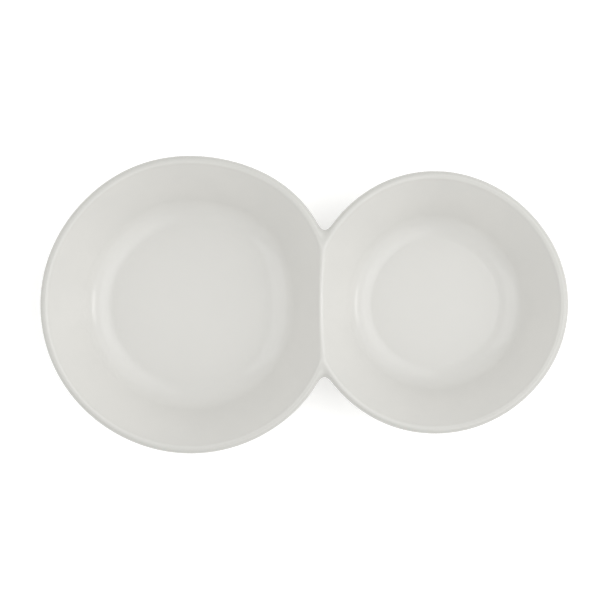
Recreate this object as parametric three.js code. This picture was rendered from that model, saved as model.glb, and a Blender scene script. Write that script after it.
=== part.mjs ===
import * as THREE from 'three';
import { ParametricGeometry } from 'three/addons/geometries/ParametricGeometry.js';
import { mergeVertices } from 'three/addons/utils/BufferGeometryUtils.js';

// Two-bowl serving dish. Millimetres, +Z up, +X towards the small bowl.
// The origin is on the table, under the middle of the dish's bounding box.

const degrees = Math.PI / 180;

// Section shared by both bowls
const rimHeight = 60;
const lipRadius = 2.9;
const wallThickness = 2 * lipRadius;
const wallSlope = 57.5 * degrees;
const creaseInset = 28.8;

// Rounding where the two bowls run into each other: its width along the ridge, what it gains
// by the time it reaches the notches, and how far out they lie
const ridgeBlend = 4;
const notchBlend = 4.9;
const notchReach = 50;

// Band beside the ridge whose section is squeezed, and the gap between the two meshes
const ridgeReach = 22;
const seamGap = 0.3;

// Feet
const footGap = 0.3;
const footEdge = 1.2;
const footFlare = 1;

// Lobes make the hand-shaped outlines: waves round the rim, their height, and their turn
const largeBowl = {
  x: -78.25,
  y: 0.26,
  radius: 102.23,
  lobes: [
    { count: 2, swell: 0.38, phase: 53 * degrees },
    { count: 3, swell: 0.68, phase: 57.5 * degrees },
    { count: 4, swell: 0.46, phase: 44 * degrees },
    { count: 5, swell: 0.41, phase: -31 * degrees },
    { count: 6, swell: 0.19, phase: -21 * degrees },
  ],
  towards: 0,
  filletRadius: 23.5,
  footRadius: 49,
  footWidth: 6,
  seamRays: 24,
  rimRays: 90,
};

const smallBowl = {
  x: 90.51,
  y: 1.28,
  radius: 89.73,
  lobes: [
    { count: 3, swell: 0.49, phase: -12.7 * degrees },
    { count: 4, swell: 0.24, phase: 3.7 * degrees },
  ],
  towards: Math.PI,
  filletRadius: 20.5,
  footRadius: 39,
  footWidth: 6,
  seamRays: 24,
  rimRays: 78,
};

// Inset and height of the crease where the straight wall turns into the fillet
const lipInnerInset = lipRadius * (1 + Math.sin(wallSlope));
const lipOuterInset = lipRadius * (1 - Math.sin(wallSlope));
const lipDrop = lipRadius * Math.cos(wallSlope);
const wallDrop = (creaseInset - lipInnerInset) * Math.tan(wallSlope);
const creaseHeight = rimHeight - lipRadius + lipDrop - wallDrop;

function floorHeight(bowl) {
  return creaseHeight - bowl.filletRadius * (1 - Math.cos(wallSlope));
}

// Inset from the rim at which the flat floor begins
function floorInset(bowl) {
  return creaseInset + bowl.filletRadius * Math.sin(wallSlope);
}

function outlineRadius(bowl, angle) {
  let radius = bowl.radius;
  for (const lobe of bowl.lobes) {
    radius += lobe.swell * Math.cos(lobe.count * (angle - lobe.phase));
  }
  return radius;
}

// Distance of a point inside one bowl's own outline
function insideBowl(bowl, x, y) {
  const alongX = x - bowl.x;
  const alongY = y - bowl.y;
  return outlineRadius(bowl, Math.atan2(alongY, alongX)) - Math.hypot(alongX, alongY);
}

// Distance inside the common outline: the larger of the two, filled in where they are nearly equal
function insideDish(x, y) {
  const large = insideBowl(largeBowl, x, y);
  const small = insideBowl(smallBowl, x, y);
  const blend = ridgeBlend + notchBlend * Math.min(Math.abs(y) / notchReach, 1) ** 4;
  const overlap = Math.max(blend - Math.abs(large - small), 0);
  return Math.max(large, small) + overlap ** 2 / (4 * blend);
}

// Height of the inner surface at an inset: lip, straight wall, fillet, floor
function innerHeight(bowl, inset) {
  const filletRun = Math.max(floorInset(bowl) - inset, 0);
  if (inset < lipInnerInset) {
    return rimHeight - lipRadius + Math.sqrt(lipRadius ** 2 - (inset - lipRadius) ** 2);
  }
  if (inset < creaseInset) {
    return creaseHeight + (creaseInset - inset) * Math.tan(wallSlope);
  }
  return floorHeight(bowl) + bowl.filletRadius - Math.sqrt(bowl.filletRadius ** 2 - filletRun ** 2);
}

// Height of the outer surface at an inset: underside of the lip, straight wall, fillet, flat base
function outerHeight(bowl, inset) {
  const radius = bowl.filletRadius + wallThickness;
  const filletRun = Math.max(floorInset(bowl) - inset, 0);
  if (inset < lipOuterInset) {
    return rimHeight - lipRadius - Math.sqrt(lipRadius ** 2 - (inset - lipRadius) ** 2);
  }
  if (filletRun > radius * Math.sin(wallSlope)) {
    return rimHeight - lipRadius - lipDrop - (inset - lipOuterInset) * Math.tan(wallSlope);
  }
  return floorHeight(bowl) + bowl.filletRadius - Math.sqrt(radius ** 2 - filletRun ** 2);
}

// Insets of the section's points, from the middle of the floor out to the edge of the lip
function innerInsets(bowl) {
  const insets = [Infinity];
  const filletSteps = 6;
  for (let step = 0; step <= filletSteps; step += 1) {
    const turn = (wallSlope * step) / filletSteps;
    insets.push(floorInset(bowl) - bowl.filletRadius * Math.sin(turn));
  }
  insets.push((creaseInset + lipInnerInset) / 2);
  const lipSteps = 6;
  for (let step = 0; step <= lipSteps; step += 1) {
    const turn = wallSlope - ((wallSlope + Math.PI / 2) * step) / lipSteps;
    insets.push(lipRadius * (1 + Math.sin(turn)));
  }
  return insets;
}

// The same along the underside, from the edge of the lip back to the middle
function outerInsets(bowl) {
  const radius = bowl.filletRadius + wallThickness;
  const outerCrease = floorInset(bowl) - radius * Math.sin(wallSlope);
  const insets = [0, lipOuterInset / 4, lipOuterInset, (lipOuterInset + outerCrease) / 2];
  const filletSteps = 5;
  for (let step = filletSteps; step >= 0; step -= 1) {
    insets.push(floorInset(bowl) - radius * Math.sin((wallSlope * step) / filletSteps));
  }
  insets.push(Infinity);
  return insets;
}

// Root of a falling function between low and high
function solveFalling(fall, low, high) {
  let below = low;
  let above = high;
  for (let step = 0; step < 50; step += 1) {
    const middle = (below + above) / 2;
    if (fall(middle) > 0) {
      below = middle;
    } else {
      above = middle;
    }
  }
  return (below + above) / 2;
}

// One ray from a bowl's middle: where it ends, on the lip's edge or on the seam, and how deep inside
function traceRay(bowl, other, angle) {
  const pointAt = (reach) => [bowl.x + reach * Math.cos(angle), bowl.y + reach * Math.sin(angle)];
  const insetAt = (reach) => insideDish(...pointAt(reach));
  const leadAt = (reach) => insideBowl(bowl, ...pointAt(reach)) - insideBowl(other, ...pointAt(reach));
  const seamReach = solveFalling((reach) => leadAt(reach) - seamGap, 0, 1.5 * bowl.radius);
  const seamInset = insetAt(seamReach);
  if (seamInset > 0) {
    return { pointAt, insetAt, endReach: seamReach, endInset: seamInset, seamInset };
  }
  const endReach = solveFalling(insetAt, 0, seamReach);
  return { pointAt, insetAt, endReach, endInset: 0, seamInset };
}

// Ray angles are denser at the notches, where the lip turns sharply
function rayAngles(bowl, other) {
  const seamDepth = (aside) => traceRay(bowl, other, bowl.towards + aside).seamInset;
  const left = solveFalling(seamDepth, 0, 1);
  const right = -solveFalling((aside) => seamDepth(-aside), 0, 1);
  const crowd = (part) => part - (0.65 * Math.sin(2 * Math.PI * part)) / (2 * Math.PI);
  const angles = [];
  for (let ray = 0; ray < bowl.seamRays; ray += 1) {
    angles.push(bowl.towards + right + (left - right) * crowd(ray / bowl.seamRays));
  }
  const rest = 2 * Math.PI - (left - right);
  for (let ray = 0; ray < bowl.rimRays; ray += 1) {
    angles.push(bowl.towards + left + rest * crowd(ray / bowl.rimRays));
  }
  return angles;
}

// Points of one ray's closed section. Near the ridge the outer insets are squeezed inside the seam.
function raySection(bowl, other, angle) {
  const ray = traceRay(bowl, other, angle);
  const squeeze = (inset) => Math.max(inset, ray.endInset + inset * (1 - ray.endInset / ridgeReach));
  const place = (inset, height) => {
    const fitted = squeeze(inset);
    if (inset === Infinity) {
      return new THREE.Vector3(bowl.x, bowl.y, height(bowl, inset));
    }
    const depth = (r) => ray.insetAt(r) - fitted;
    const reach = inset === 0 ? ray.endReach : solveFalling(depth, 0, ray.endReach);
    return new THREE.Vector3(...ray.pointAt(reach), height(bowl, fitted));
  };
  const inner = innerInsets(bowl).map((inset) => place(Math.max(inset, 0), innerHeight));
  const outer = outerInsets(bowl).map((inset) => place(inset, outerHeight));
  return [...inner, ...outer];
}

// Two corners of a face that fall on one point leave no face
function dropEmptyFaces(geometry) {
  const index = geometry.index.array;
  const kept = [];
  for (let at = 0; at < index.length; at += 3) {
    const [a, b, c] = [index[at], index[at + 1], index[at + 2]];
    if (a !== b && b !== c && c !== a) {
      kept.push(a, b, c);
    }
  }
  geometry.setIndex(kept);
  return geometry;
}

function bowlGeometry(bowl, other) {
  const sections = rayAngles(bowl, other).map((angle) => raySection(bowl, other, angle));
  const rays = sections.length;
  const steps = sections[0].length - 1;
  const surface = (u, v, target) => {
    target.copy(sections[Math.round(u * rays) % rays][Math.round((1 - v) * steps)]);
  };
  const sheet = new ParametricGeometry(surface, rays, steps);
  sheet.deleteAttribute('normal');
  sheet.deleteAttribute('uv');
  const geometry = dropEmptyFaces(mergeVertices(sheet, 0.001));
  geometry.computeVertexNormals();
  return geometry;
}

// Ring under the floor: rounded lower edges, sides that flare upwards, flat top just under the base
function footGeometry(bowl) {
  const top = floorHeight(bowl) - wallThickness - footGap;
  const half = bowl.footWidth / 2;
  const section = new THREE.Path();
  section.moveTo(bowl.footRadius - half - footFlare, top);
  section.lineTo(bowl.footRadius - half, footEdge);
  section.absarc(bowl.footRadius - half + footEdge, footEdge, footEdge, Math.PI, 1.5 * Math.PI);
  section.absarc(bowl.footRadius + half - footEdge, footEdge, footEdge, -0.5 * Math.PI, 0);
  section.lineTo(bowl.footRadius + half + footFlare, top);
  section.lineTo(bowl.footRadius - half - footFlare, top);
  const ring = new THREE.LatheGeometry(section.getPoints(1), 72);
  ring.rotateX(Math.PI / 2);
  ring.translate(bowl.x, bowl.y, 0);
  ring.deleteAttribute('normal');
  ring.deleteAttribute('uv');
  const geometry = dropEmptyFaces(mergeVertices(ring, 0.001));
  geometry.computeVertexNormals();
  return geometry;
}

function glaze() {
  return new THREE.MeshStandardMaterial({ color: 0xe9e6de, roughness: 0.12, metalness: 0 });
}

function bareClay() {
  return new THREE.MeshStandardMaterial({ color: 0xcdbfa8, roughness: 0.85, metalness: 0 });
}

function named(name, geometry, material) {
  const mesh = new THREE.Mesh(geometry, material);
  mesh.name = name;
  return mesh;
}

const group = new THREE.Group();
group.add(named('large_bowl', bowlGeometry(largeBowl, smallBowl), glaze()));
group.add(named('small_bowl', bowlGeometry(smallBowl, largeBowl), glaze()));
group.add(named('large_foot_ring', footGeometry(largeBowl), bareClay()));
group.add(named('small_foot_ring', footGeometry(smallBowl), bareClay()));

export default group;
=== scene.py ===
from math import cos, pi, radians, sin, tan

import bpy
import numpy as np
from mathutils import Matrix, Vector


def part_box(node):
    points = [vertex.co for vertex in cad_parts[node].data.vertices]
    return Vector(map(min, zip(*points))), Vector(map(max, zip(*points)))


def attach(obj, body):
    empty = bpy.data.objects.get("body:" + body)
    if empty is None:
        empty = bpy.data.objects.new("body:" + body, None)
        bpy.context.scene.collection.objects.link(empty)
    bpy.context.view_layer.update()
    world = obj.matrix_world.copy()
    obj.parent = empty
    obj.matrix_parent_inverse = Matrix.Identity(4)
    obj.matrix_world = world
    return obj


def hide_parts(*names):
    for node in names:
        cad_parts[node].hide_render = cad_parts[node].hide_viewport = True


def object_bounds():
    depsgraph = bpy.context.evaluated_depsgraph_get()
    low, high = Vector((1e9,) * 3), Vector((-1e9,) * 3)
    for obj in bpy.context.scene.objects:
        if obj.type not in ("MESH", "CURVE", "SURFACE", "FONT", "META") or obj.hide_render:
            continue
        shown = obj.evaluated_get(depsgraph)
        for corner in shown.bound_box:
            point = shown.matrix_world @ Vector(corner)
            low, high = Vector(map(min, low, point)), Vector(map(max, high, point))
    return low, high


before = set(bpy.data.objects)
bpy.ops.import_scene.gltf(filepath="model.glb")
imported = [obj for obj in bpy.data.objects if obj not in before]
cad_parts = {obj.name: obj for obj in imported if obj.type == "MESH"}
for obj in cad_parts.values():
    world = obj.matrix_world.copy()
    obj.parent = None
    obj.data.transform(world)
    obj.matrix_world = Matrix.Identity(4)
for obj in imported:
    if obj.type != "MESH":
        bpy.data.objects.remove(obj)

# Two-bowl glazed serving dish: metres, +Z up, +X from the large bowl to the small one
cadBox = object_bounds()
rimHeight = cadBox[1].z


class Wire:
    # a node's output that can be added, multiplied and so on: every operator makes one Math node
    def __init__(self, finish, socket):
        self.finish = finish
        self.socket = socket

    def combine(self, operation, first, second):
        return self.finish.node("ShaderNodeMath", {"operation": operation}, {0: first, 1: second})

    def __add__(self, other):
        return self.combine("ADD", self, other)

    def __radd__(self, other):
        return self.combine("ADD", other, self)

    def __sub__(self, other):
        return self.combine("SUBTRACT", self, other)

    def __rsub__(self, other):
        return self.combine("SUBTRACT", other, self)

    def __mul__(self, other):
        return self.combine("MULTIPLY", self, other)

    def __rmul__(self, other):
        return self.combine("MULTIPLY", other, self)


class Finish:
    # a material and the one method that adds nodes to it
    def __init__(self, name):
        self.material = bpy.data.materials.new(name)
        self.material.use_nodes = True
        self.tree = self.material.node_tree
        self.tree.nodes.clear()

    def node(self, kind, settings=None, values=None, output=0):
        # kind of node, settings put in place first, then a value or a wire for each input
        made = self.tree.nodes.new(kind)
        for key, setting in (settings or {}).items():
            setattr(made, key, setting)
        for key, value in (values or {}).items():
            if isinstance(value, Wire):
                self.tree.links.new(value.socket, made.inputs[key])
            else:
                made.inputs[key].default_value = value
        return Wire(self, made.outputs[output]) if len(made.outputs) else None

    def noise(self, place, scale, detail=2.0, rough=0.5):
        # soft random values from 0 to 1; scale is in patches for each metre
        return self.node("ShaderNodeTexNoise", {"noise_dimensions": "3D"},
                         {"Vector": place, "Scale": scale, "Detail": detail, "Roughness": rough})

    def spread(self, wire, low, high, bottom=0.0, top=1.0):
        # smooth step from low to high, giving bottom to top
        return self.node("ShaderNodeMapRange", {"interpolation_type": "SMOOTHSTEP"},
                         {"Value": wire, "From Min": low, "From Max": high,
                          "To Min": bottom, "To Max": top})

    def blend(self, factor, first, second):
        # colour mix: sockets 6 and 7 are the colour inputs and output 2 the colour result
        return self.node("ShaderNodeMix", {"data_type": "RGBA"}, {0: factor, 6: first, 7: second}, output=2)

    def close(self, values):
        # the surface shader with its inputs, joined to the material's output
        shader = self.node("ShaderNodeBsdfPrincipled", None, values)
        self.node("ShaderNodeOutputMaterial", None, {"Surface": shader})
        return self.material


# Gloss off-white glaze of both bowls
glazeLook = {
    "body": (0.691, 0.684, 0.658, 1.0),      # the colour over most of the dish
    "cloud": (0.675, 0.669, 0.645, 1.0),     # slow drift of the same white
    "thinLipAndShade": (0.520, 0.518, 0.492, 1.0),      # thinner glaze over the lip, darkened further as painted shade on its outer turn and underside
    "pooled": (0.646, 0.641, 0.618, 1.0),    # where it ran together on the floor
    "cloudScale": 22.0,
    "cloudEdges": (0.35, 0.65),
    "poolMottle": 0.3,                       # how much the clouds break up the pooled colour
    "grainScale": 900.0,
    "grainEdges": (0.3, 0.6),
    "grainHold": 0.9,                        # share of the thin, shaded lip colour kept between the grains
    "cloudShare": 0.6,                       # of the roughness; the grain has the rest
    "rippleScale": 34.0,
    "rippleHeight": 0.00009,
    "peelScale": 420.0,
    "peelHeight": 0.0000035,
    "roughness": (0.12, 0.20),
    "index": 1.5,
}


def glazeFinish():
    # The body colour with three more laid over it, by clouds and by the two attributes; the lip's one
    # is thinner glaze with painted shade. The relief is a low ripple and a fine peel.
    look = glazeLook
    finish = Finish("offWhiteGlaze")
    place = finish.node("ShaderNodeTexCoord", output="Object")
    thinLipAndShade = finish.node("ShaderNodeAttribute", {"attribute_name": "thinGlazeAndShade"}, output="Fac")
    pooled = finish.node("ShaderNodeAttribute", {"attribute_name": "pooledGlaze"}, output="Fac")
    clouds = finish.noise(place, look["cloudScale"], 3.0)
    grain = finish.noise(place, look["grainScale"])
    ripple = finish.noise(place, look["rippleScale"], 1.0)
    peel = finish.noise(place, look["peelScale"])

    colour = finish.blend(finish.spread(clouds, *look["cloudEdges"]), look["body"], look["cloud"])
    mottle = look["poolMottle"]
    colour = finish.blend(pooled * (1.0 - mottle + mottle * clouds), colour, look["pooled"])
    worn = finish.spread(grain, *look["grainEdges"], look["grainHold"], 1.0)
    # painted shade: the lip is darkened over its outer turn and underside, on top of the thinner glaze
    # there
    colour = finish.blend(thinLipAndShade * worn, colour, look["thinLipAndShade"])

    smooth, dull = look["roughness"]
    share = look["cloudShare"]
    roughness = smooth + (dull - smooth) * (share * clouds + (1.0 - share) * grain)
    height = ripple * look["rippleHeight"] + peel * look["peelHeight"]
    bump = finish.node("ShaderNodeBump", None, {"Strength": 1.0, "Distance": 1.0, "Height": height})
    return finish.close({"Base Color": colour, "Roughness": roughness, "Normal": bump,
                         "IOR": look["index"]})


# Glazed sides of the foot rings and the bare clay they stand on
footLook = {
    "glaze": (0.690, 0.682, 0.642, 1.0),
    "clay": (0.560, 0.500, 0.400, 1.0),
    "clayDark": (0.470, 0.405, 0.315, 1.0),
    "bareHeight": 0.0011,        # the glaze is wiped off below this
    "wander": 0.0005,            # how far its edge strays
    "softness": 0.00012,         # how blurred its edge is
    "strayScale": 90.0,
    "gritScale": 1600.0,
    "gritHeight": 0.00006,
    "gritRoughness": 0.08,
    "gritShare": 0.6,            # of the clay's colour; the stains have the rest
    "clayEdges": (0.35, 0.65),
    "stainScale": 60.0,
    "glazeThickness": 0.00022,
    "clayRoughness": 0.88,
    "glazeRoughness": 0.11,
    "index": 1.5,
}


def footFinish():
    # glaze above the wiped edge and gritty clay below it; the edge strays up and down with a noise
    look = footLook
    finish = Finish("wipedFoot")
    place = finish.node("ShaderNodeTexCoord", output="Object")
    height = finish.node("ShaderNodeSeparateXYZ", None, {"Vector": place}, output="Z")
    stray = finish.noise(place, look["strayScale"], 3.0)
    grit = finish.noise(place, look["gritScale"], 4.0, 0.7)
    stain = finish.noise(place, look["stainScale"], 3.0)
    edge = height + (stray - 0.5) * (2.0 * look["wander"])
    glazed = finish.spread(edge, look["bareHeight"] - look["softness"],
                           look["bareHeight"] + look["softness"])

    share = look["gritShare"]
    patches = finish.spread(grit * share + stain * (1.0 - share), *look["clayEdges"])
    clay = finish.blend(patches, look["clay"], look["clayDark"])
    colour = finish.blend(glazed, clay, look["glaze"])
    smoothing = look["clayRoughness"] - look["glazeRoughness"]
    roughness = look["clayRoughness"] - smoothing * glazed + look["gritRoughness"] * (grit - 0.5)
    relief = (1.0 - glazed) * grit * look["gritHeight"] + glazed * look["glazeThickness"]
    bump = finish.node("ShaderNodeBump", None, {"Strength": 1.0, "Distance": 1.0, "Height": relief})
    return finish.close({"Base Color": colour, "Roughness": roughness, "Normal": bump,
                         "IOR": look["index"]})


# The lip, walls and ridge that both bowls share
section = {
    "lipRadius": 0.0029,            # the lip is a half round and the wall is twice this thick
    "wallSlope": radians(57.5),     # of the straight wall, from level
    "creaseInset": 0.0288,          # from the rim in to where the wall turns into the fillet
    "ridgeBlend": 0.0040,           # width of the rounding along the ridge
    "notchBlend": 0.0049,           # what that width gains by the time it reaches the notches
    "notchReach": 0.050,            # how far out they lie
    "ridgeReach": 0.022,            # how far in from the ridge its section is squeezed
}

# The two bowls: names of pieces and nodes, outline, fillet, foot, and how finely the rim is drawn
largeBowl = {
    "shell": "largeBowlShell",
    "ring": "largeFootRing",
    "node": "large_bowl",
    "foot": "large_foot_ring",
    "radius": 0.10223,
    "lobes": ((2, 0.00038, 53.0), (3, 0.00068, 57.5), (4, 0.00046, 44.0),   # waves, height, turn
              (5, 0.00041, -31.0), (6, 0.00019, -21.0)),
    "filletRadius": 0.0235,
    "rimRays": 300,
    "footRadius": 0.049,
}

smallBowl = {
    "shell": "smallBowlShell",
    "ring": "smallFootRing",
    "node": "small_bowl",
    "foot": "small_foot_ring",
    "radius": 0.08973,
    "lobes": ((3, 0.00049, -12.7), (4, 0.00024, 3.7)),
    "filletRadius": 0.0205,
    "rimRays": 270,
    "footRadius": 0.039,
}

for bowl in (largeBowl, smallBowl):
    low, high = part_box(bowl["foot"])
    bowl["x"], bowl["y"] = (low.x + high.x) / 2, (low.y + high.y) / 2

lip = section["lipRadius"]
slope = section["wallSlope"]
thickness = 2 * lip
lipInner = lip * (1 + np.sin(slope))
lipOuter = lip * (1 - np.sin(slope))
creaseHeight = rimHeight - lip + lip * np.cos(slope) - (section["creaseInset"] - lipInner) * tan(slope)


def outlineRadius(bowl, angle):
    # the radius, plus a cosine for each lobe
    radius = bowl["radius"]
    for waves, swell, turn in bowl["lobes"]:
        radius = radius + swell * np.cos(waves * (angle - radians(turn)))
    return radius


def insideBowl(bowl, x, y):
    # outline radius in the point's direction, less the point's distance from the middle
    alongX, alongY = x - bowl["x"], y - bowl["y"]
    return outlineRadius(bowl, np.arctan2(alongY, alongX)) - np.hypot(alongX, alongY)


def insideDish(x, y):
    # the larger of the two distances, plus a parabola where they differ by less than the blend
    large, small = insideBowl(largeBowl, x, y), insideBowl(smallBowl, x, y)
    outwards = np.minimum(np.abs(y) / section["notchReach"], 1)
    blend = section["ridgeBlend"] + section["notchBlend"] * outwards ** 4
    overlap = np.maximum(blend - np.abs(large - small), 0)
    return np.maximum(large, small) + overlap ** 2 / (4 * blend)


def insetGradient(x, y):
    # central differences of the distance inside the dish
    step = 0.000002
    acrossX = (insideDish(x + step, y) - insideDish(x - step, y)) / (2 * step)
    acrossY = (insideDish(x, y + step) - insideDish(x, y - step)) / (2 * step)
    return acrossX, acrossY


def floorInset(bowl):
    # the crease's inset, plus the fillet's run
    return section["creaseInset"] + bowl["filletRadius"] * np.sin(slope)


def floorHeight(bowl):
    # the crease's height, less the fillet's drop
    return creaseHeight - bowl["filletRadius"] * (1 - np.cos(slope))


def innerSurface(bowl, inset):
    # height and lean at an inset: circle of the lip, straight wall, circle of the fillet, flat floor
    fillet = bowl["filletRadius"]
    lipLean = np.arcsin(np.clip(inset / lip - 1, -1, 1))
    filletLean = np.arcsin(np.clip((floorInset(bowl) - inset) / fillet, 0, 1))
    lipHeight = rimHeight - lip + lip * np.cos(lipLean)
    wallHeight = creaseHeight + (section["creaseInset"] - inset) * tan(slope)
    filletHeight = floorHeight(bowl) + fillet * (1 - np.cos(filletLean))
    onLip, onWall = inset < lipInner, inset < section["creaseInset"]
    height = np.where(onLip, lipHeight, np.where(onWall, wallHeight, filletHeight))
    lean = np.where(onLip, lipLean, np.where(onWall, slope, filletLean))
    return height, lean


def outerSurface(bowl, inset):
    # the same one wall thickness outside: under the lip, straight wall, wider fillet, flat base
    fillet = bowl["filletRadius"] + thickness
    run = floorInset(bowl) - inset
    lipLean = np.arcsin(np.clip(inset / lip - 1, -1, 1))
    filletLean = np.arcsin(np.clip(run / fillet, 0, 1))
    lipHeight = rimHeight - lip - lip * np.cos(lipLean)
    wallHeight = rimHeight - lip - lip * np.cos(slope) - (inset - lipOuter) * tan(slope)
    filletHeight = floorHeight(bowl) + bowl["filletRadius"] - fillet * np.cos(filletLean)
    onLip, onWall = inset < lipOuter, run > fillet * np.sin(slope)
    height = np.where(onLip, lipHeight, np.where(onWall, wallHeight, filletHeight))
    lean = np.where(onLip, -pi - lipLean, np.where(onWall, slope - pi, filletLean - pi))
    return height, lean


# Rows of quads in each stretch of a bowl's section, columns along the seam, and how evenly columns lie
density = {"floor": 8, "fillet": 22, "wall": 14, "lip": 26,
           "under": 6, "outerWall": 12, "outerFillet": 16, "base": 7,
           "seam": 64, "seamEvenness": 0.15, "rimEvenness": 0.08}

# Where the crest, the notches and the rim are looked for
search = {
    "seamLow": -0.03,       # least and greatest x of the ridge's crest
    "seamHigh": 0.05,
    "notch": 0.08,          # across from the middle, past the notches
    "pastRim": 1.08,        # out from a bowl's middle, past the rim, as a share of its radius
    "halvings": 48,
}


def halve(rises, low, high):
    # Halves the span from low to high again and again: where rises is above zero at its middle, the
    # middle becomes the low end, and elsewhere the high end.
    low, high = np.broadcast_arrays(np.asarray(low, float), np.asarray(high, float))
    for turn in range(search["halvings"]):
        middle = (low + high) / 2
        above = rises(middle) > 0
        low, high = np.where(above, middle, low), np.where(above, high, middle)
    return (low + high) / 2


def crowd(count, evenness):
    # count steps from -1 to 1, closer together at both ends: part sine, part even
    even = np.linspace(-1, 1, count + 1)
    return (1 - evenness) * np.sin(even * pi / 2) + evenness * even


def seamAt(y):
    # x on the ridge's crest at y: where a point is equally far inside both bowls
    lead = lambda x: insideBowl(largeBowl, x, y) - insideBowl(smallBowl, x, y)
    return halve(lead, np.full_like(y, search["seamLow"]), np.full_like(y, search["seamHigh"]))


def seamLine(count):
    # the crest from the near notch to the far one, in plan
    middle = (largeBowl["y"] + smallBowl["y"]) / 2
    depth = lambda y: insideDish(seamAt(y), y)
    mirrored = lambda y: depth(2 * middle - y)
    start, end = np.array([middle]), np.array([middle + search["notch"]])
    far = halve(depth, start, end)
    near = 2 * middle - halve(mirrored, start, end)
    y = (far + near) / 2 + (far - near) / 2 * crowd(count, density["seamEvenness"])
    return np.stack([seamAt(y), y], axis=1)


def gridFaces(count, columns):
    # quads between neighbouring rows, round all the columns
    row, column = np.meshgrid(np.arange(count - 1), np.arange(columns), indexing="ij")
    after = (column + 1) % columns
    here = row * columns
    return np.stack([here + column, here + after, here + columns + after, here + columns + column],
                    axis=-1).reshape(-1, 4)


def makePiece(name, points, faces, normals, material):
    # faces are quads, with -1 as a triangle's last corner; normals has a row for every corner, or is
    # None where plain smooth shading will do
    mesh = bpy.data.meshes.new(name)
    kept = faces >= 0
    totals = kept.sum(axis=1)
    mesh.vertices.add(len(points))
    mesh.vertices.foreach_set("co", points.astype(np.float32).ravel())
    mesh.loops.add(int(totals.sum()))
    mesh.loops.foreach_set("vertex_index", faces[kept].astype(np.int32))
    mesh.polygons.add(len(faces))
    mesh.polygons.foreach_set("loop_start", (np.cumsum(totals) - totals).astype(np.int32))
    mesh.polygons.foreach_set("use_smooth", np.ones(len(faces), dtype=bool))
    mesh.update(calc_edges=True)
    mesh.validate()
    if normals is not None:
        mesh.normals_split_custom_set(normals[kept].tolist())
    mesh.materials.append(material)
    piece = bpy.data.objects.new(name, mesh)
    bpy.context.scene.collection.objects.link(piece)
    return piece


def addAttribute(piece, name, values):
    # one number for every point
    layer = piece.data.attributes.new(name, "FLOAT", "POINT")
    layer.data.foreach_set("value", values.astype(np.float32))


def bowlRays(bowl, seam):
    # the middle, unit directions of the rays, and how far each goes: first to the seam, then to the rim
    middle = np.array([bowl["x"], bowl["y"]])
    seamRun = seam - middle
    seamReach = np.hypot(seamRun[:, 0], seamRun[:, 1])
    first = np.arctan2(seamRun[0, 1], seamRun[0, 0])
    last = np.arctan2(seamRun[-1, 1], seamRun[-1, 0])
    span = (first - last) % (2 * pi)
    angle = last + span * (1 + crowd(bowl["rimRays"], density["rimEvenness"])[1:-1]) / 2
    direction = np.concatenate([seamRun / seamReach[:, None],
                                np.stack([np.cos(angle), np.sin(angle)], axis=1)])
    inset = lambda reach: insideDish(bowl["x"] + reach * np.cos(angle), bowl["y"] + reach * np.sin(angle))
    farthest = np.full_like(angle, search["pastRim"] * bowl["radius"])
    rimReach = halve(inset, np.zeros_like(angle), farthest)
    return middle, direction, np.concatenate([seamReach, rimReach])


def topRows(bowl):
    # insets of the upper rows: equal turns round the fillet and the lip, equal steps up the wall
    leanIn = np.linspace(0, slope, density["fillet"] + 1)
    leanLip = np.linspace(slope, -pi / 2, density["lip"] + 1)[1:]
    fillet = floorInset(bowl) - bowl["filletRadius"] * np.sin(leanIn)
    wall = np.linspace(fillet[-1], lipInner, density["wall"] + 1)[1:]
    return np.concatenate([fillet, wall, lip * (1 + np.sin(leanLip))])


def lowRows(bowl):
    # the same underneath, from the lip's edge back to the flat base
    outerFillet = bowl["filletRadius"] + thickness
    leanUnder = np.linspace(-pi / 2, slope - pi, density["under"] + 1)
    turns = np.linspace(slope, 0, density["outerFillet"] + 1)
    fillet = floorInset(bowl) - outerFillet * np.sin(turns)
    wall = np.linspace(lipOuter, fillet[0], density["outerWall"] + 1)[1:-1]
    return np.concatenate([lip * (1 + np.sin(leanUnder)), wall, fillet])


def shellSide(bowl, seam, rays, insets, surface, flat, isTop):
    # Points, normals and insets of one side. Every row follows one inset, found along each ray, and
    # the flat middle is divided evenly. Beside the ridge the insets are squeezed between the crest's
    # own inset and ridgeReach. The normal leans by the section's angle along the inset's gradient.
    middle, direction, reachEnd = rays
    seamCount = len(seam)
    endInset = np.zeros(len(direction))
    endInset[1:seamCount - 1] = insideDish(seam[1:-1, 0], seam[1:-1, 1])
    insets = np.maximum(insets, 0)[:, None]
    wanted = np.maximum(insets, endInset + insets * (1 - endInset / section["ridgeReach"]))
    gap = lambda reach: insideDish(middle[0] + reach * direction[:, 0],
                                   middle[1] + reach * direction[:, 1]) - wanted
    reach = halve(gap, np.zeros_like(wanted), np.broadcast_to(reachEnd, wanted.shape))

    edge, rim = (0, -1) if isTop else (-1, 0)
    reach[rim] = reachEnd            # the lip's edge and the seam are met exactly
    flatReach = np.arange(1, flat)[:, None] / flat * reach[edge]
    flatInset = np.broadcast_to(wanted[edge], flatReach.shape)
    if isTop:
        reach, wanted = np.concatenate([flatReach, reach]), np.concatenate([flatInset, wanted])
    else:
        reach, wanted = np.concatenate([reach, flatReach[::-1]]), np.concatenate([wanted, flatInset])
    x = middle[0] + reach * direction[:, 0]
    y = middle[1] + reach * direction[:, 1]
    x[rim, :seamCount], y[rim, :seamCount] = seam[:, 0], seam[:, 1]

    height, lean = surface(bowl, wanted)
    acrossX, acrossY = insetGradient(x, y)
    normal = np.stack([np.sin(lean) * acrossX, np.sin(lean) * acrossY, np.cos(lean)], axis=-1)
    normal /= np.linalg.norm(normal, axis=-1, keepdims=True)
    return np.stack([x, y, height], axis=-1), normal, wanted


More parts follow.
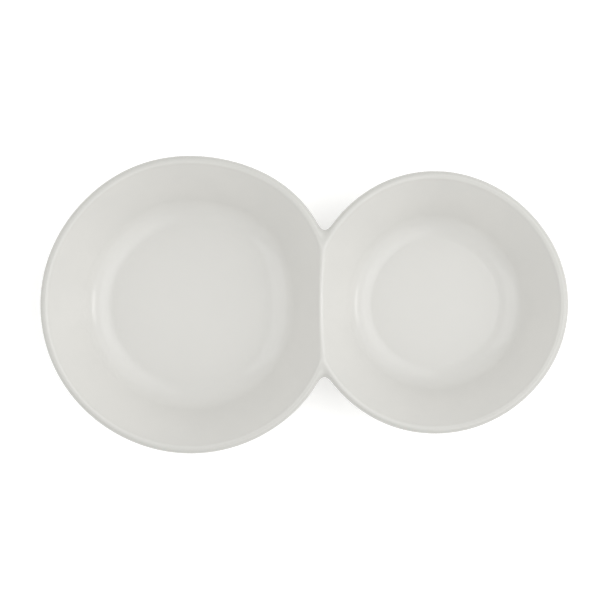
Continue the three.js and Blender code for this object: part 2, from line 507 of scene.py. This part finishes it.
def shellFaces(topCount, lowCount, columns, seamCount):
    # One numbering: the upper rows, then the lower rows, whose first row is only new inside the seam.
    # Gives the quads of both sides, the flat wall below the crest, and the two middles' fans.
    number = np.arange((topCount + lowCount) * columns).reshape(-1, columns)
    shared = np.ones(columns, dtype=bool)
    shared[1:seamCount - 1] = False
    number[topCount, shared] = number[topCount - 1, shared]
    quads = gridFaces(topCount + lowCount, columns)
    seamStart = (topCount - 1) * columns
    crestWall = number.ravel()[quads[seamStart:seamStart + seamCount - 1]]
    quads = number.ravel()[np.concatenate([quads[:seamStart], quads[seamStart + columns:]])]
    crestWall[0] = [crestWall[0][0], crestWall[0][1], crestWall[0][2], -1]
    crestWall[-1] = [crestWall[-1][0], crestWall[-1][1], crestWall[-1][3], -1]

    column = np.arange(columns)
    after = (column + 1) % columns
    blank = np.full(columns, -1)
    lastRow = (topCount + lowCount - 1) * columns
    topMiddle = (topCount + lowCount) * columns
    topFan = np.stack([np.full(columns, topMiddle), after, column, blank], axis=1)
    lowFan = np.stack([np.full(columns, topMiddle + 1), lastRow + column, lastRow + after, blank], axis=1)
    return quads, crestWall, topFan, lowFan


def bowlShell(bowl, seam, material):
    # both sides of one bowl joined at the lip, with a flat wall where it meets the other bowl
    rays = bowlRays(bowl, seam)
    middle, columns = rays[0], len(rays[1])
    top, topNormal, topInset = shellSide(bowl, seam, rays, topRows(bowl), innerSurface,
                                         density["floor"], True)
    low, lowNormal = shellSide(bowl, seam, rays, lowRows(bowl), outerSurface,
                               density["base"], False)[:2]
    poles = [[*middle, top[0, 0, 2]], [*middle, low[-1, 0, 2]]]
    points = np.concatenate([top.reshape(-1, 3), low.reshape(-1, 3), poles])
    normals = np.concatenate([topNormal.reshape(-1, 3), lowNormal.reshape(-1, 3),
                              [[0, 0, 1], [0, 0, -1]]])

    quads, crestWall, topFan, lowFan = shellFaces(len(top), len(low), columns, len(seam))
    faces = np.concatenate([quads, crestWall, topFan, lowFan])
    cornerNormals = normals[faces]
    along = points[crestWall[:, 1]] - points[crestWall[:, 0]]
    outward = np.stack([along[:, 1], -along[:, 0], 0 * along[:, 0]], axis=1)
    outward /= np.linalg.norm(outward, axis=1, keepdims=True)
    cornerNormals[len(quads):len(quads) + len(crestWall)] = outward[:, None, :]

    # points that the shared row left unused are dropped
    used = np.unique(faces[faces >= 0])
    renumber = np.full(len(points), -1)
    renumber[used] = np.arange(len(used))
    faces = np.where(faces >= 0, renumber[faces], -1)

    # rows go outwards over the top, so the faces are turned round to face up
    faces, cornerNormals = turnRound(faces, cornerNormals)
    piece = makePiece(bowl["shell"], points[used], faces, cornerNormals, material)
    for name, values in glazeSpread(topInset, low[..., 2]).items():
        addAttribute(piece, name, values[used])
    return piece


# How the glaze ran off the lip and down to the floor, and where painted shade darkens the lip
glazeRun = {
    "crestShare": 0.65,     # how thin and shaded it is on the lip's crest, where 1 is the lip's outer turn
    "thinAndShadeFade": 0.6,        # how far in from the crest that fades, as a share of the lip's radius
    "thinAndShadeDrop": 0.004,      # how far down the outside it fades
    "poolWidth": 0.018,     # how far in from the crease it has fully gathered
}


def glazeSpread(topInset, lowHeight):
    # The glaze thins over the lip and painted shade darkens it, both most at its outer turn, and they
    # fade inwards and down the outside as bell curves. It gathers past the crease as a smooth step. The
    # last two values are the middles of the floor and the base.
    crestShare = glazeRun["crestShare"]
    outerTurn = np.clip(1 - topInset / lip, 0, 1)
    past = np.maximum(topInset - lip, 0) / (glazeRun["thinAndShadeFade"] * lip)
    # thinner glaze and painted shade on the lip, fading inwards and down the outside
    thinAndShadeTop = np.exp(-past ** 2) * (crestShare + (1 - crestShare) * outerTurn)
    thinAndShadeLow = np.exp(-((rimHeight - lip - lowHeight) / glazeRun["thinAndShadeDrop"]) ** 2)
    share = np.clip((topInset - section["creaseInset"]) / glazeRun["poolWidth"], 0, 1)
    pooled = share ** 2 * (3 - 2 * share)
    return {"thinGlazeAndShade": np.concatenate([thinAndShadeTop.ravel(), thinAndShadeLow.ravel(), [0, 0]]),
            "pooledGlaze": np.concatenate([pooled.ravel(), np.zeros(lowHeight.size), [1, 0]])}


def turnRound(faces, cornerNormals):
    # swaps the second corner with the last kept one, so that every face turns the other way
    turned, turnedNormals = faces.copy(), cornerNormals.copy()
    quad = faces[:, 3] >= 0
    for chosen, a, b in ((quad, 1, 3), (~quad, 1, 2)):
        turned[chosen, a], turned[chosen, b] = faces[chosen, b], faces[chosen, a]
        turnedNormals[chosen, a] = cornerNormals[chosen, b]
        turnedNormals[chosen, b] = cornerNormals[chosen, a]
    return turned, turnedNormals


# A foot ring's section, and the rows and columns it is drawn with
footShape = {"halfWidth": 0.0030, "edge": 0.0013, "cove": 0.0020, "sink": 0.00015,
             "arcRows": 8, "sideRows": 5, "flatRows": 4, "columns": 240}


def footRing(bowl, material):
    # A closed profile carried round a circle: cove, side and rounded edge, once outside and once inside
    shape = footShape
    base = floorHeight(bowl) - thickness
    turn = np.linspace(0, pi / 2, shape["arcRows"] + 1)
    half, edge, cove = shape["halfWidth"], shape["edge"], shape["cove"]
    coveOut = half + cove - cove * np.sin(turn)
    coveUp = base - cove + cove * np.cos(turn)
    roundOut = half - edge + edge * np.cos(turn)
    roundUp = edge - edge * np.sin(turn)
    flatOut = np.linspace(half - edge, 0, shape["flatRows"] + 1)[1:]
    sideUp = np.linspace(base - cove, edge, shape["sideRows"] + 1)[1:-1]
    sideOut, flatUp = np.full_like(sideUp, half), np.zeros_like(flatOut)
    out = np.concatenate([[half + cove], coveOut, sideOut, roundOut, flatOut])
    up = np.concatenate([[base + shape["sink"]], coveUp, sideUp, roundUp, flatUp])
    # the inner half mirrors the outer one, and the sunk top closes the ring
    out = np.concatenate([out, -out[-2::-1]])
    up = np.concatenate([up, up[-2::-1]])
    angle = np.arange(shape["columns"]) * 2 * pi / shape["columns"]
    radius = bowl["footRadius"] + out[:, None]
    points = np.stack([bowl["x"] + radius * np.cos(angle), bowl["y"] + radius * np.sin(angle),
                       np.broadcast_to(up[:, None], radius.shape[:1] + angle.shape)], axis=-1)
    count, columns = points.shape[:2]
    faces = gridFaces(count, columns)
    column = np.arange(columns)
    closing = np.stack([(count - 1) * columns + column, (count - 1) * columns + (column + 1) % columns,
                        (column + 1) % columns, column], axis=1)
    faces = np.concatenate([faces, closing])
    return makePiece(bowl["ring"], points.reshape(-1, 3), faces[:, ::-1], None, material)


# Camera over the dish; width is how much of the rim's plane it sees
viewOf = {"distance": 3.5, "width": 0.41755, "x": 0.00048, "y": -0.00025, "sensor": 36.0, "farthest": 20.0}


def addCamera():
    # straight down from high up; the lens makes the rim's plane viewOf["width"] wide
    data = bpy.data.cameras.new("overhead")
    data.sensor_width = viewOf["sensor"]
    data.lens = viewOf["sensor"] * viewOf["distance"] / viewOf["width"]
    data.clip_end = viewOf["farthest"]
    camera = bpy.data.objects.new("overhead", data)
    camera.location = (viewOf["x"], viewOf["y"], rimHeight + viewOf["distance"])
    bpy.context.scene.collection.objects.link(camera)
    bpy.context.scene.camera = camera


# Softboxes facing the middle of the dish: where they stand, how tall and wide, and watts
lamps = {
    "rightWall": {"turn": 0.0, "rise": 50.5, "distance": 1.7, "size": (2.50, 4.40), "power": 18.0},
    "rightSoftbox": {"turn": 0.0, "rise": 64.0, "distance": 1.30, "size": (0.94, 1.65), "power": 2.5},
    "rightCore": {"turn": 0.0, "rise": 64.0, "distance": 1.26, "size": (0.62, 0.76), "power": 1.0},
    "rightStrip": {"turn": 0.0, "rise": 22.0, "distance": 1.5, "size": (0.32, 0.50), "power": 1.15},
    "leftCard": {"turn": 176.0, "rise": 42.0, "distance": 1.6, "size": (1.50, 1.70), "power": 6.0},
}


def addLamps():
    # each lamp's place comes from its turn round the dish, its rise above the table and its distance
    for name, lamp in lamps.items():
        data = bpy.data.lights.new(name, "AREA")
        data.shape = "RECTANGLE"
        data.size, data.size_y = lamp["size"]
        data.energy = lamp["power"]
        light = bpy.data.objects.new(name, data)
        turn, rise, distance = radians(lamp["turn"]), radians(lamp["rise"]), lamp["distance"]
        light.location = (distance * cos(rise) * cos(turn), distance * cos(rise) * sin(turn),
                          distance * sin(rise))
        light.rotation_euler = (0.0, pi / 2 - rise, turn)
        bpy.context.scene.collection.objects.link(light)


# The sky all round and the floor under the feet
studio = {
    "sky": (1.0, 1.0, 0.99, 1.0),
    "skyStrength": 0.66,
    "floorReach": 4.0,                      # from its middle to each side
    "floorGap": 0.0003,                     # just clear of the feet
    "floorPale": (0.96, 0.96, 0.96, 1.0),
    "floorShade": (0.94, 0.94, 0.94, 1.0),
    "floorPatches": 3.0,
    "floorRoughness": 0.9,
    "floorGlow": (1.0, 1.0, 1.0, 1.0),
    "glowStrength": 0.22,
}


def addSurroundings():
    # an even sky and a pale floor that glows a little, so that shadows on it stay faint
    world = bpy.data.worlds.new("studio")
    bpy.context.scene.world = world
    world.use_nodes = True
    back = world.node_tree.nodes["Background"]
    back.inputs["Color"].default_value = studio["sky"]
    back.inputs["Strength"].default_value = studio["skyStrength"]

    finish = Finish("paleSweep")
    place = finish.node("ShaderNodeTexCoord", output="Object")
    patches = finish.noise(place, studio["floorPatches"])
    tint = finish.blend(patches, studio["floorPale"], studio["floorShade"])
    finish.close({"Base Color": tint, "Roughness": studio["floorRoughness"],
                  "Emission Color": studio["floorGlow"], "Emission Strength": studio["glowStrength"]})
    mesh = bpy.data.meshes.new("paleFloor")
    reach = studio["floorReach"]
    corners = [(-reach, -reach, 0), (reach, -reach, 0), (reach, reach, 0), (-reach, reach, 0)]
    mesh.from_pydata(corners, [], [(0, 1, 2, 3)])
    mesh.materials.append(finish.material)
    floor = bpy.data.objects.new("paleFloor", mesh)
    floor.location.z = -studio["floorGap"]
    bpy.context.scene.collection.objects.link(floor)


glaze = glazeFinish()
foot = footFinish()
seam = seamLine(density["seam"])
print("finishes and seam ready")

for bowl, line in ((largeBowl, seam), (smallBowl, seam[::-1])):
    shell = bowlShell(bowl, line, glaze)
    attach(shell, "root")
    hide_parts(bowl["node"])
    ring = footRing(bowl, foot)
    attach(ring, "root")
    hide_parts(bowl["foot"])
    print(bowl["shell"], len(shell.data.polygons), "faces;", bowl["ring"], len(ring.data.polygons), "faces")

addCamera()
addLamps()
addSurroundings()
bpy.context.scene.view_settings.view_transform = "Standard"
print("camera, lamps and floor ready")
